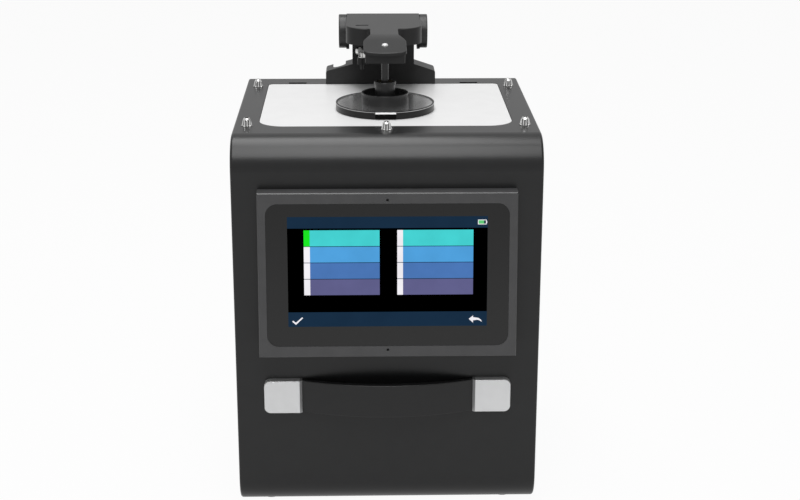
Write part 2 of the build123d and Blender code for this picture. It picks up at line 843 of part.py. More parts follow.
# Screen: the frame stands on the case's front, and the glass lies in its tilted face
face_origin = Vector(0, front_y - bezel_top_reach, bezel_top_z)
face_plane = Plane(origin=face_origin, x_dir=(1, 0, 0), z_dir=(0, -tilt_cos, tilt_sin))
glass_plane = face_plane.offset(-glass_recess)
lcd_plane = glass_plane.offset(-glass_thickness)
with BuildPart() as screen_bezel:
    with BuildSketch(Plane.YZ) as wedge:
        with BuildLine():
            Polyline(
                (front_y, bezel_top_z),
                (front_y - bezel_top_reach, bezel_top_z),
                (front_y - bezel_foot_reach, bezel_foot_z),
                (front_y, bezel_foot_z),
                close=True,
            )
        make_face()
    extrude(amount=bezel_width / 2, both=True)
    fillet(screen_bezel.faces().sort_by(Axis.Y)[0].edges(), bezel_edge)
    with BuildSketch(face_plane):
        with Locations((0, -glass_drop)):
            RectangleRounded(glass_width + 2 * fit_gap, glass_height + 2 * fit_gap, glass_corner)
    extrude(amount=-(glass_recess + glass_thickness), mode=Mode.SUBTRACT)
    with BuildSketch(lcd_plane):
        with Locations((0, -glass_drop)):
            Rectangle(lcd_width + 2 * lcd_gap, lcd_height + 2 * lcd_gap)
    extrude(amount=-2 * bezel_foot_reach, mode=Mode.SUBTRACT)
    with BuildSketch(face_plane):
        with Locations((0, -glass_drop)):
            with GridLocations(0, glass_height + 2 * pinhole_inset, 1, 2):
                Circle(pinhole_radius)
    extrude(amount=-pinhole_depth, mode=Mode.SUBTRACT)
    with BuildSketch(facing_front(front_y)):
        with Locations(*bezel_screw_places):
            Circle(panel_screw_radius + fit_gap)
    extrude(amount=bezel_screw_grip + fit_gap, mode=Mode.SUBTRACT)

bezel_screw = screw(panel_screw_radius, wall + bezel_screw_grip,
                    panel_screw_head_radius, panel_screw_head)
with BuildPart() as bezel_screws:
    with Locations(*[Location((x, front_y + wall, z), (-90, 0, 0)) for x, z in bezel_screw_places]):
        add(bezel_screw)

with BuildPart() as touch_glass:
    with BuildSketch(glass_plane):
        with Locations((0, -glass_drop)):
            RectangleRounded(glass_width, glass_height, glass_corner)
    extrude(amount=-glass_thickness)

with BuildPart() as lcd_module:
    with BuildSketch(lcd_plane):
        with Locations((0, -glass_drop)):
            RectangleRounded(lcd_width, lcd_height, lcd_gap)
    extrude(amount=-lcd_thickness)

with BuildPart() as display_board:
    with BuildSketch(lcd_plane.offset(-lcd_thickness)):
        with Locations((0, -glass_drop)):
            Rectangle(display_board_width, display_board_height)
    extrude(amount=-board_thickness)

# Carrying handle: a bowed strap whose flat ends are held under two covers
strap_rear_reach = strap_reach - strap_middle_thickness
tab_reach_rear = strap_end_reach - strap_end_thickness
with BuildPart() as handle_strap:
    with BuildSketch(Plane.XY.offset(handle_z - strap_height / 2)):
        with BuildLine():
            front_arc = ThreePointArc(
                (-strap_span / 2, front_y - strap_end_reach),
                (0, front_y - strap_reach),
                (strap_span / 2, front_y - strap_end_reach),
            )
            rear_arc = ThreePointArc(
                (-strap_span / 2, front_y - tab_reach_rear),
                (0, front_y - strap_rear_reach),
                (strap_span / 2, front_y - tab_reach_rear),
            )
            Line(front_arc @ 0, rear_arc @ 0)
            Line(front_arc @ 1, rear_arc @ 1)
        make_face()
        for side in (-1, 1):
            with Locations((side * (strap_span + strap_tab) / 2,
                            front_y - (strap_end_reach + tab_reach_rear) / 2)):
                Rectangle(strap_tab, strap_end_thickness)
    extrude(amount=strap_height)
    bow_edges = [edge for edge in handle_strap.edges() if abs(edge.center().X) < seam
                 and edge.length > strap_span / 2]
    fillet(bow_edges, strap_edge)


def handle_bracket(side):
    """The cover over one end of the strap; side is -1 on the left, 1 on the right."""
    inner_x = side * strap_span / 2
    centre_x = side * (strap_span + bracket_length) / 2
    with BuildPart() as bracket:
        with BuildSketch(facing_front(front_y)):
            with Locations((centre_x, handle_z)):
                outline = Rectangle(bracket_length, bracket_height)
            outer = outline.vertices().sort_by(Axis.X)
            fillet(outer[:2] if side < 0 else outer[-2:], bracket_corner)
        extrude(amount=bracket_reach)
        front_face = bracket.faces().sort_by(Axis.Y)[0]
        lip_edge = front_face.edges().sort_by(Axis.X)[-1 if side < 0 else 0]
        chamfer(lip_edge, bracket_lip)
        front_face = bracket.faces().filter_by(Axis.Y).sort_by(Axis.Y)[0]
        lip_edge = front_face.edges().sort_by(Axis.X)[-1 if side < 0 else 0]
        fillet([edge for edge in front_face.edges() if edge != lip_edge], bracket_edge)
        with BuildSketch(facing_front(front_y)):
            with Locations((inner_x + side * strap_tab / 2, handle_z)):
                Rectangle(strap_tab + 2 * seam, strap_height + 2 * fit_gap)
        extrude(amount=strap_end_reach + fit_gap, mode=Mode.SUBTRACT)
        with BuildSketch(facing_front(front_y)):
            with Locations(*[place for place in handle_screw_places if place[0] * side > 0]):
                Circle(handle_screw_radius + fit_gap)
        extrude(amount=handle_screw_grip + fit_gap, mode=Mode.SUBTRACT)
    return bracket


with BuildPart() as handle_brackets:
    for side in (-1, 1):
        add(handle_bracket(side).part)

handle_screw = screw(handle_screw_radius, wall + handle_screw_grip,
                     foot_screw_head_radius, foot_screw_head)
with BuildPart() as handle_screws:
    with Locations(*[Location((x, front_y + wall, z), (-90, 0, 0)) for x, z in handle_screw_places]):
        add(handle_screw)

# Sockets in the rear panel
outward = Plane(origin=(0, back_y, 0), x_dir=(-1, 0, 0), z_dir=(0, 1, 0))
with BuildPart() as dc_jack:
    with Locations(Location((jack_x, back_y, socket_z), (-90, 0, 0))):
        Cylinder(jack_flange_radius, jack_flange, align=(Align.CENTER, Align.CENTER, Align.MIN))
        Cylinder(jack_body_radius, jack_length, align=(Align.CENTER, Align.CENTER, Align.MAX))
    with Locations(Location((jack_x, back_y + jack_flange, socket_z), (-90, 0, 0))):
        Cylinder(jack_bore_radius, jack_length - jack_flange, mode=Mode.SUBTRACT,
                 align=(Align.CENTER, Align.CENTER, Align.MAX))
        Cylinder(jack_pin_radius, jack_length, align=(Align.CENTER, Align.CENTER, Align.MAX))

with BuildPart() as usb_port:
    usb_outer_width = usb_width + 2 * usb_shell
    usb_outer_height = usb_height + 2 * usb_shell
    with Locations((usb_x, back_y + usb_reach, socket_z)):
        Box(usb_outer_width, usb_length, usb_outer_height,
            align=(Align.CENTER, Align.MAX, Align.CENTER))
        Box(usb_width, usb_length - usb_shell, usb_height, mode=Mode.SUBTRACT,
            align=(Align.CENTER, Align.MAX, Align.CENTER))
        Box(usb_tongue_width, usb_length, usb_tongue_height,
            align=(Align.CENTER, Align.MAX, Align.CENTER))

with BuildPart() as serial_port:
    with BuildSketch(outward):
        with Locations((-serial_x, socket_z)):
            RectangleRounded(serial_flange_width, serial_flange_height, serial_shell)
    extrude(amount=serial_flange)
    with BuildSketch(outward):
        with Locations((-serial_x, socket_z)):
            RectangleRounded(serial_width + 2 * serial_shell, serial_height + 2 * serial_shell,
                             serial_corner)
    extrude(amount=serial_reach)
    with BuildSketch(outward):
        with Locations((-serial_x, socket_z)):
            RectangleRounded(serial_width + 2 * serial_shell, serial_height + 2 * serial_shell,
                             serial_corner)
    extrude(amount=-serial_depth)
    with BuildSketch(outward.offset(serial_reach)):
        with Locations((-serial_x, socket_z)):
            RectangleRounded(serial_width, serial_height, serial_corner - serial_shell)
    extrude(amount=-(serial_reach + serial_depth - serial_flange), mode=Mode.SUBTRACT)
    with BuildSketch(outward.offset(-serial_depth)):
        with Locations((-serial_x, socket_z + serial_pin_pitch / 2)):
            with GridLocations(serial_pin_pitch, 0, 5, 1):
                Circle(serial_pin_radius)
        with Locations((-serial_x, socket_z - serial_pin_pitch / 2)):
            with GridLocations(serial_pin_pitch, 0, 4, 1):
                Circle(serial_pin_radius)
    extrude(amount=serial_depth + serial_reach - serial_flange)
    with BuildSketch(outward):
        with Locations((-serial_x - serial_post_x, socket_z), (-serial_x + serial_post_x, socket_z)):
            RegularPolygon(serial_post_radius, 6)
    extrude(amount=serial_reach)

# Power switch: a frame and the rocker that tips in it
switch_body_width = switch_width - 2 * switch_flange
rocker_pin_length = rocker_width + 2 * rocker_pin_radius
with BuildPart() as switch_frame:
    with Locations((switch_x, back_y, socket_z)):
        Box(switch_width, switch_lip, switch_height, align=(Align.CENTER, Align.MIN, Align.CENTER))
        Box(switch_body_width, switch_depth, switch_height - 2 * switch_flange,
            align=(Align.CENTER, Align.MAX, Align.CENTER))
    with Locations((switch_x, back_y + switch_lip, socket_z)):
        Box(rocker_width + 2 * seam, switch_lip + rocker_depth + rocker_swing_gap,
            rocker_height + 2 * rocker_swing_gap, mode=Mode.SUBTRACT,
            align=(Align.CENTER, Align.MAX, Align.CENTER))
    with Locations(Location((switch_x, back_y, socket_z), (0, 90, 0))):
        Cylinder(rocker_pin_radius + running_gap, rocker_pin_length + 2 * seam, mode=Mode.SUBTRACT)

rocker_rest = radians(rocker_tilt)
rocker_plane = Plane(origin=(switch_x, back_y, socket_z),
                     x_dir=(0, cos(rocker_rest), sin(rocker_rest)), z_dir=(1, 0, 0))
rocker_half = rocker_height / 2
rocker_end_rise = rocker_half * tan(rocker_rest)
with BuildPart() as switch_rocker:
    with BuildSketch(rocker_plane):
        with BuildLine():
            Polyline(
                (rocker_rise, 0),
                (rocker_rise + rocker_end_rise, rocker_half),
                (rocker_end_rise - rocker_rise, rocker_half),
                (-rocker_depth, 0),
                (rocker_end_rise - rocker_rise, -rocker_half),
                (rocker_rise + rocker_end_rise, -rocker_half),
                close=True,
            )
        make_face()
    extrude(amount=rocker_width / 2, both=True)
    with BuildSketch(rocker_plane):
        Circle(rocker_pin_radius)
    extrude(amount=rocker_pin_length / 2, both=True)

# Hinge bracket: a stepped base, and a column whose top is the hinge's knuckle
column_half = column_width / 2
base_shape = [
    (-base_left, top_z),
    (-base_left, top_z + shoulder_end),
    (-column_half, top_z + shoulder_rise),
    (column_half, top_z + shoulder_rise),
    (base_right, top_z + shoulder_end),
    (base_right, top_z),
]
damper_seat = damper_radius + damper_gap
with BuildPart() as hinge_bracket:
    with BuildSketch(facing_front(base_front_y)) as base_outline:
        with BuildLine():
            Polyline(*base_shape, close=True)
        make_face()
        fillet(base_outline.vertices().group_by(Axis.Y)[1], shoulder_corner)
    extrude(amount=-base_depth)
    with BuildSketch(Plane.XY.offset(top_z)):
        with Locations((-notch_x, back_y - notch_depth + notch_width / 2)):
            Circle(notch_width / 2)
        with Locations((-notch_x, back_y)):
            Rectangle(notch_width, notch_depth - notch_width / 2, align=(Align.CENTER, Align.MAX))
    extrude(amount=shoulder_rise, mode=Mode.SUBTRACT)
    with BuildSketch(Plane.YZ):
        with BuildLine():
            Polyline(
                (base_front_y, top_z),
                (base_front_y, top_z + column_rise),
                (back_y, top_z + column_rise),
                (back_y, top_z),
                close=True,
            )
            CenterArc((hinge_y, hinge_z), knuckle_radius, 0, 360)
        make_hull()
    extrude(amount=column_half, both=True)
    # Bore for the hinge's bushes, and the slot that the damper drops into
    with BuildSketch(Plane.YZ):
        with Locations((hinge_y, hinge_z)):
            Circle(bush_radius + fit_gap)
    extrude(amount=column_half, both=True, mode=Mode.SUBTRACT)
    with BuildSketch(Plane.YZ):
        with Locations((hinge_y, hinge_z)):
            Circle(damper_seat)
            Rectangle(2 * damper_seat, 2 * knuckle_radius, align=(Align.CENTER, Align.MIN))
    extrude(amount=damper_length / 2 + damper_gap, both=True, mode=Mode.SUBTRACT)
    with BuildSketch(Plane.XY.offset(top_z)):
        with Locations(*bracket_screw_places):
            Circle(foot_screw_radius + fit_gap)
    extrude(amount=bracket_screw_grip + fit_gap, mode=Mode.SUBTRACT)

bracket_screw = screw(foot_screw_radius, wall + stage_frame_thickness + bracket_screw_grip,
                      foot_screw_head_radius, foot_screw_head)
with BuildPart() as bracket_screws:
    with Locations(*[Location((x, y, frame_bottom_z), (180, 0, 0))
                     for x, y in bracket_screw_places]):
        add(bracket_screw)

with BuildPart() as hinge_bushes:
    for side in (-1, 1):
        with BuildSketch(Plane.YZ.offset(side * column_half)):
            with Locations((hinge_y, hinge_z)):
                Circle(bush_radius)
                Circle(pin_radius + running_gap, mode=Mode.SUBTRACT)
        extrude(amount=-side * bush_length)

with BuildPart() as hinge_damper:
    with BuildSketch(Plane.YZ):
        with Locations((hinge_y, hinge_z)):
            Circle(damper_radius)
            Circle(pin_radius + running_gap, mode=Mode.SUBTRACT)
    extrude(amount=damper_length / 2, both=True)

# Wing bolt in a lug on the front of the column
bolt_y = base_front_y - bolt_reach
with BuildPart() as bolt_lug:
    with BuildSketch(Plane.XY.offset(top_z + lug_bottom)):
        with Locations((-bolt_x, bolt_y)):
            Circle(lug_width / 2)
            Rectangle(lug_width, bolt_reach, align=(Align.CENTER, Align.MIN))
            Circle(bolt_radius + running_gap, mode=Mode.SUBTRACT)
    extrude(amount=lug_top - lug_bottom)

hub_z = top_z + lug_top + running_gap
wing_plane = Plane(origin=(-bolt_x, bolt_y, hub_z),
                   x_dir=(cos(radians(bolt_turn)), sin(radians(bolt_turn)), 0),
                   z_dir=(sin(radians(bolt_turn)), -cos(radians(bolt_turn)), 0))
wing_tip_x = wing_span / 2 - wing_tip_radius
wing_tip_z = wing_top - lug_top - wing_tip_radius
with BuildPart() as wing_bolt:
    with BuildSketch(Plane.XY.offset(top_z + bolt_tip)):
        with Locations((-bolt_x, bolt_y)):
            Circle(bolt_radius)
    extrude(amount=hub_z - top_z - bolt_tip)
    with BuildSketch(Plane.XY.offset(hub_z)):
        with Locations((-bolt_x, bolt_y)):
            Circle(hub_radius)
    extrude(amount=hub_height)
    for side in (-1, 1):
        with BuildSketch(wing_plane):
            with BuildLine():
                CenterArc((side * wing_root_radius / 2, wing_root_radius), wing_root_radius, 0, 360)
                CenterArc((side * wing_tip_x, wing_tip_z), wing_tip_radius, 0, 360)
            make_hull()
        extrude(amount=wing_thickness / 2, both=True)

# Press arm: a shell that is open below and behind, T-shaped seen from above
head_end_y = axis_y - head_front
bend_y = axis_y + head_back
crossbar_y = axis_y + crossbar_front
arm_rear_y = hinge_y + crossbar_rear_margin
head_slope = tan(radians(head_tilt))
arm_z = top_z + head_rise
bend_z = arm_z + head_back * head_slope
head_end_z = arm_z - head_front * head_slope
rear_slope = tan(radians(arm_slope))
crossbar_z = bend_z + (crossbar_y - bend_y) * rear_slope
arm_rear_z = bend_z + (arm_rear_y - bend_y) * rear_slope
arm_plan_places = [
    (head_width / 2, head_end_y + head_bow),
    (head_width / 2, axis_y + flare_start),
    (neck_width / 2, axis_y + flare_end),
    (neck_width / 2, crossbar_y),
    (crossbar_width / 2, crossbar_y),
    (crossbar_width / 2, arm_rear_y),
]
arm_corners = [head_corner, flare_corner, flare_corner, neck_corner, crossbar_corner]


def arm_plan(inset, rear_y):
    """The arm's outline from above, shrunk by inset and running back to rear_y."""
    with BuildSketch(Plane.XY.offset(top_z)) as plan:
        with BuildLine():
            right = list(arm_plan_places)
            left = [(-x, y) for x, y in reversed(right)]
            Polyline(*right, *left)
            ThreePointArc(left[-1], (0, head_end_y), right[0])
        make_face()
        for (x, y), radius in zip(arm_plan_places, arm_corners):
            corners = [corner for corner in plan.vertices()
                       if abs(abs(corner.X) - x) < seam and abs(corner.Y - y) < seam]
            fillet(corners, radius)
        if inset > 0:
            offset(amount=-inset)
            with Locations((0, rear_y)):
                Rectangle(crossbar_width - 2 * inset, 2 * crossbar_corner,
                          align=(Align.CENTER, Align.MAX))
    return plan.sketch


def head_border(wall):
    """What lies outside the body of the arm's head, less a wall, from above."""
    half = head_width / 2 - lip_side - wall
    front = head_end_y + lip_front + wall
    with BuildSketch(Plane.XY.offset(top_z)) as border:
        with Locations((0, front - head_width)):
            Rectangle(2 * head_width, axis_y + flare_start - front + head_width,
                      align=(Align.CENTER, Align.MIN))
        with Locations((0, front)):
            RectangleRounded(2 * half, 2 * head_width, lip_corner,
                             align=(Align.CENTER, Align.MIN), mode=Mode.SUBTRACT)
    return border.sketch


def arm_side(drop, underside):
    """The arm's side view: its top line lowered by drop, closed along the points of its underside."""
    rear_y = underside[0][0]
    with BuildSketch(Plane.YZ.offset(-crossbar_width)) as side_view:
        with BuildLine():
            Polyline(
                (head_end_y - seam, head_end_z - seam * head_slope - drop),
                (bend_y, bend_z - drop),
                (rear_y, bend_z + (rear_y - bend_y) * rear_slope - drop),
                *underside,
                close=True,
            )
        make_face()
        bends = [corner for corner in side_view.vertices() if abs(corner.X - bend_y) < seam]
        fillet(bends, arm_bend_radius)
    return side_view.sketch


arm_underside = [
    (arm_rear_y, arm_rear_z - crossbar_height),
    (crossbar_y, crossbar_z - crossbar_height),
    (crossbar_y, crossbar_z - head_height),
    (bend_y, bend_z - head_height),
    (head_end_y - seam, head_end_z - seam * head_slope - head_height),
]
cavity_underside = [(arm_rear_y + arm_wall, top_z), (head_end_y - seam, top_z)]
bend_reach = arm_bend_radius * tan(radians(head_tilt - arm_slope) / 2)
with BuildPart() as head_trim:
    extrude(head_border(0), amount=2 * head_rise)
    extrude(arm_side(head_plate, cavity_underside), amount=2 * crossbar_width, mode=Mode.INTERSECT)

with BuildPart() as arm_cavity:
    extrude(arm_plan(arm_wall, arm_rear_y + arm_wall), amount=2 * head_rise)
    extrude(head_border(arm_wall), amount=2 * head_rise, mode=Mode.SUBTRACT)
    extrude(arm_side(arm_wall, cavity_underside), amount=2 * crossbar_width, mode=Mode.INTERSECT)

with BuildPart() as press_arm:
    extrude(arm_plan(0, arm_rear_y), amount=2 * head_rise)
    extrude(arm_side(0, arm_underside), amount=2 * crossbar_width, mode=Mode.INTERSECT)
    add(head_trim.part, mode=Mode.SUBTRACT)
    top_faces = press_arm.faces().filter_by(lambda top_face: top_face.normal_at().Z > 0.9)
    rim = [edge for edge in top_faces.edges()
           if abs(edge.center().Y - bend_y) > 2 * bend_reach and edge.center().Y < arm_rear_y - seam
           or abs(edge.tangent_at(0.5).X) < 0.9]
    fillet(rim, arm_edge)
    add(arm_cavity.part, mode=Mode.SUBTRACT)
    # Boss that holds the rod, and the two round cheeks of the hinge
    with BuildSketch(Plane.XY.offset(head_end_z - head_height)):
        with Locations((0, axis_y)):
            Circle(boss_radius)
    extrude(amount=arm_z - arm_wall - head_end_z + head_height)
    for side in (-1, 1):
        with BuildSketch(Plane.YZ.offset(side * crossbar_width / 2)):
            with Locations((hinge_y, hinge_z - cheek_drop)):
                Circle(cheek_radius)
        extrude(amount=-side * arm_wall)
    with BuildSketch(Plane.YZ):
        with Locations((hinge_y, hinge_z)):
            Circle(pin_radius + fit_gap)
    extrude(amount=crossbar_width, both=True, mode=Mode.SUBTRACT)
    with BuildSketch(Plane.XY.offset(top_z)):
        with Locations((0, axis_y)):
            Circle(rod_radius + fit_gap)
        with Locations((-arm_slot_x, axis_y + arm_slot_depth)):
            Rectangle(arm_slot_length, arm_slot_width)
    extrude(amount=2 * head_rise, mode=Mode.SUBTRACT)

with BuildPart() as hinge_pin:
    with BuildSketch(Plane.YZ):
        with Locations((hinge_y, hinge_z)):
            Circle(pin_radius)
    extrude(amount=crossbar_width / 2 + pin_seat, both=True)

with BuildPart() as hinge_caps:
    for side in (-1, 1):
        with BuildSketch(Plane.YZ.offset(side * crossbar_width / 2)):
            with Locations((hinge_y, hinge_z)):
                Circle(cap_radius)
        extrude(amount=side * cap_thickness)
        with BuildSketch(Plane.YZ.offset(side * crossbar_width / 2)):
            with Locations((hinge_y, hinge_z)):
                Circle(pin_radius + fit_gap)
        extrude(amount=side * (pin_seat + fit_gap), mode=Mode.SUBTRACT)
    outer_faces = hinge_caps.faces().filter_by(Axis.X).sort_by(Axis.X)
    fillet(outer_faces[0].edges() + outer_faces[-1].edges(), cap_edge)

# Rod that carries the press; the collar near its lower end is the press's stop
disc_z = stage_z + press_gap + sheet_reach
disc_floor_z = disc_z + disc_height - disc_dish
sleeve_top_z = disc_z + sleeve_top
collar_top_z = sleeve_top_z - sleeve_bush_drop - sleeve_bush_height - press_gap
collar_z = collar_top_z - collar_height
rod_top_z = arm_z - rod_top_drop
with BuildPart() as press_rod:
    with BuildSketch(Plane.XY.offset(collar_z)):
        with Locations((0, axis_y)):
            Circle(rod_radius)
    extrude(amount=rod_top_z - collar_z)
    with BuildSketch(Plane.XY.offset(collar_z)):
        with Locations((0, axis_y)):
            Circle(collar_radius)
    extrude(amount=collar_height)

with BuildPart() as rod_screw:
    with BuildSketch(Plane.XY.offset(rod_top_z)):
        with Locations((0, axis_y)):
            Circle(rod_screw_radius)
    extrude(amount=rod_screw_height)
    fillet(rod_screw.edges().group_by(Axis.Z)[-1], rod_screw_dome)

# Press: the disc with its soft sheet, cup, sleeve and front tab
tab_front_y = axis_y - tab_reach
tab_rear_y = tab_front_y + tab_depth
with BuildPart() as press_disc:
    with BuildSketch(Plane.XY.offset(disc_z)):
        with Locations((0, axis_y)):
            Circle(disc_radius)
    extrude(amount=disc_height)
    with BuildSketch(Plane.XY.offset(disc_z + disc_height)):
        with Locations((0, axis_y)):
            Circle(disc_radius - disc_lip)
    extrude(amount=-disc_dish, mode=Mode.SUBTRACT)
    with BuildSketch(Plane.XY.offset(disc_z)):
        with Locations((0, axis_y)):
            Circle(sheet_radius + fit_gap)
    extrude(amount=sheet_thickness - sheet_reach, mode=Mode.SUBTRACT)
    with BuildSketch(Plane.XY.offset(disc_z)):
        with Locations((0, tab_rear_y + fit_gap)):
            Rectangle(tab_width + 2 * fit_gap, tab_width, align=(Align.CENTER, Align.MAX))
    extrude(amount=disc_height, mode=Mode.SUBTRACT)

with BuildPart() as pad_sheet:
    with BuildSketch(Plane.XY.offset(disc_z - sheet_reach)):
        with Locations((0, axis_y)):
            Circle(sheet_radius)
    extrude(amount=sheet_thickness)

with BuildPart() as pad_cup:
    with BuildSketch(Plane.XY.offset(disc_floor_z)):
        with Locations((0, axis_y)):
            Circle(cup_radius)
            Circle(sleeve_radius + fit_gap, mode=Mode.SUBTRACT)
    extrude(amount=cup_wall)
    with BuildSketch(Plane.XY.offset(disc_floor_z + cup_wall)):
        with Locations((0, axis_y)):
            Circle(cup_radius)
            Circle(cup_radius - cup_wall, mode=Mode.SUBTRACT)
    extrude(amount=disc_z + cup_top - disc_floor_z - cup_wall)
    fillet(pad_cup.edges().group_by(Axis.Z)[-1], cup_wall / 4)

with BuildPart() as pad_sleeve:
    with BuildSketch(Plane.XY.offset(disc_floor_z)):
        with Locations((0, axis_y)):
            Circle(sleeve_radius)
    extrude(amount=sleeve_top_z - disc_floor_z)
    with BuildSketch(Plane.XY.offset(sleeve_top_z - sleeve_lip)):
        with Locations((0, axis_y)):
            Circle(sleeve_lip_radius)
    extrude(amount=sleeve_lip)
    fillet(pad_sleeve.edges().group_by(Axis.Z)[-1], sleeve_lip / 4)
    with Locations((0, axis_y, sleeve_top_z)):
        Cylinder(sleeve_bore, sleeve_top, mode=Mode.SUBTRACT,
                 align=(Align.CENTER, Align.CENTER, Align.MAX))
        Cylinder(sleeve_mouth, sleeve_bush_drop, mode=Mode.SUBTRACT,
                 align=(Align.CENTER, Align.CENTER, Align.MAX))

with BuildPart() as sleeve_bush:
    with BuildSketch(Plane.XY.offset(collar_top_z + press_gap)):
        with Locations((0, axis_y)):
            Circle(sleeve_bore - fit_gap)
            Circle(rod_radius + running_gap, mode=Mode.SUBTRACT)
    extrude(amount=sleeve_bush_height)

with BuildPart() as pad_spring:
    with BuildSketch(Plane.XY.offset(disc_floor_z)):
        with Locations((0, axis_y)):
            Circle(spring_radius)
            Circle(spring_radius - spring_wall, mode=Mode.SUBTRACT)
    extrude(amount=collar_z - disc_floor_z)

with BuildPart() as pad_tab:
    with BuildSketch(Plane.XY.offset(disc_z + tab_rise)):
        with Locations((0, tab_front_y)):
            Rectangle(tab_width, tab_depth, align=(Align.CENTER, Align.MIN))
    extrude(amount=tab_height)

with BuildPart() as tab_strip:
    with BuildSketch(Plane.XY.offset(disc_z + tab_rise + tab_height)):
        with Locations((0, tab_front_y)):
            Rectangle(tab_width, strip_depth, align=(Align.CENTER, Align.MIN))
    extrude(amount=strip_height)
    strip_top = tab_strip.faces().sort_by(Axis.Z)[-1]
    chamfer(strip_top.edges().sort_by(Axis.Y)[0], strip_height * 0.8)

pieces = {
    "wrap_cover": wrap_cover,
    "side_panel_left": side_panel_left,
    "side_panel_right": side_panel_right,
    "side_screws": side_screws,
    "rear_panel": rear_panel,
    "rear_screws": rear_screws,
    "feet": feet,
    "foot_screws": foot_screws,
    "base_tray": base_tray,
    "stage_frame": stage_frame,
    "stage_plate": stage_plate,
    "top_screws": top_screws,
    "aperture_ring": aperture_ring,
    "sphere_upper": sphere_upper,
    "sphere_lower": sphere_lower,
    "lamp_housing": lamp_housing,
    "flash_lamp": flash_lamp,
    "optics_deck": optics_deck,
    "lens_tube": lens_tube,
    "collection_lens": collection_lens,
    "spectrometer_case": spectrometer_case,
    "spectrometer_cover": spectrometer_cover,
    "grating": grating,
    "detector_board": detector_board,
    "main_board": main_board,
    "power_board": power_board,
    "battery_pack": battery_pack,
    "screen_bezel": screen_bezel,
    "bezel_screws": bezel_screws,
    "touch_glass": touch_glass,
    "lcd_module": lcd_module,
    "display_board": display_board,
    "handle_strap": handle_strap,
    "handle_brackets": handle_brackets,
    "handle_screws": handle_screws,
    "dc_jack": dc_jack,
    "usb_port": usb_port,
    "serial_port": serial_port,
    "switch_frame": switch_frame,
    "switch_rocker": switch_rocker,
    "hinge_bracket": hinge_bracket,
    "bracket_screws": bracket_screws,
    "hinge_bushes": hinge_bushes,
    "hinge_damper": hinge_damper,
    "bolt_lug": bolt_lug,
    "wing_bolt": wing_bolt,
    "press_arm": press_arm,
    "hinge_pin": hinge_pin,
    "hinge_caps": hinge_caps,
    "press_rod": press_rod,
    "rod_screw": rod_screw,
    "press_disc": press_disc,
    "pad_sheet": pad_sheet,
    "pad_cup": pad_cup,
    "pad_sleeve": pad_sleeve,
    "sleeve_bush": sleeve_bush,
    "pad_spring": pad_spring,
    "pad_tab": pad_tab,
    "tab_strip": tab_strip,
}

for name, piece in pieces.items():
    piece.part.label = name
    export_step(piece.part, f"parts/{name}.step")
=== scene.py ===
import json
import math

import bpy
from mathutils import Matrix, Vector


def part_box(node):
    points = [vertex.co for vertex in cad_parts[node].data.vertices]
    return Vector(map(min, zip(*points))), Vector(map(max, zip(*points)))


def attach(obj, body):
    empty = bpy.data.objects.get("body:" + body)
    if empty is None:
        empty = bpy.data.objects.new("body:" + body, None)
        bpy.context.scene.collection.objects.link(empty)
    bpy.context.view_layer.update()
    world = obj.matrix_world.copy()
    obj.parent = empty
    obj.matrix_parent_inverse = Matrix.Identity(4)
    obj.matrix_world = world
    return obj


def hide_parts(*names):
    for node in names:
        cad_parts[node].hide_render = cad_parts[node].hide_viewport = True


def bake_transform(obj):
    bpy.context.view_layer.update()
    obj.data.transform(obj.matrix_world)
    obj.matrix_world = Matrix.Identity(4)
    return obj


# The benchtop spectrophotometer's looks: its finishes, the knurled top screws, the coil of the press
# spring, the picture on the screen, a plain floor, soft studio light and the camera. Values are in
# metres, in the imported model's frame, unless a comment says mm.

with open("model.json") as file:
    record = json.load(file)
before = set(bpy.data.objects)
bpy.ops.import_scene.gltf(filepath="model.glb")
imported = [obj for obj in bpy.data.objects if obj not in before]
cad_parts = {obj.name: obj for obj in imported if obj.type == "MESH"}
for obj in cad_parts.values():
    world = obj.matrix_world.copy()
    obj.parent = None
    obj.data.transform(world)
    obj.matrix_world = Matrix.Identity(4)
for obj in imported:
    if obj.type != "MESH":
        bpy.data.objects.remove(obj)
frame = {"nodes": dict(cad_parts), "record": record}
NODES = frame["nodes"]
SLOTS = {entry["node"]: entry["material_slot"] for entry in frame["record"]["subparts"]}
MM = 0.001


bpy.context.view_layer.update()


# Materials: a fine grain of bumps, and clouds of colour CLOUD_COARSENESS times larger than the grain

NOISE_DETAIL = 3.0
CLOUD_COARSENESS = 12
CLOUD_ENDS = (0.35, 0.65)
GRAIN = 900.0
GRAIN_DEPTH = 0.00005
PAINT_DEPTH = 0.00003


def grey(level):
    """A grey of the given linear level."""
    return (level, level, level)


def rgba(color):
    """An opaque colour for a socket."""
    return (*color, 1.0)


def new_material(name):
    """A node material, its Principled shader and its coordinates in metres."""
    material = bpy.data.materials.new(name)
    material.use_nodes = True
    shader = material.node_tree.nodes["Principled BSDF"]
    coords = material.node_tree.nodes.new("ShaderNodeTexCoord")
    return material, shader, coords.outputs["Object"]


def noise(tree, coords, scale, stretch=None):
    """A noise texture in object space; stretch scales it along each axis."""
    texture = tree.nodes.new("ShaderNodeTexNoise")
    texture.inputs["Scale"].default_value = scale
    texture.inputs["Detail"].default_value = NOISE_DETAIL
    if stretch is not None:
        mapping = tree.nodes.new("ShaderNodeMapping")
        mapping.inputs["Scale"].default_value = stretch
        tree.links.new(coords, mapping.inputs["Vector"])
        coords = mapping.outputs["Vector"]
    tree.links.new(coords, texture.inputs["Vector"])
    return texture.outputs["Fac"]


def clouded(tree, factor, color, spread):
    """A colour that varies by spread to both sides with factor."""
    ramp = tree.nodes.new("ShaderNodeValToRGB")
    for element, position, change in zip(ramp.color_ramp.elements, CLOUD_ENDS, (-spread, spread)):
        element.position = position
        element.color = rgba([channel * (1 + change) for channel in color])
    tree.links.new(factor, ramp.inputs["Fac"])
    return ramp.outputs["Color"]


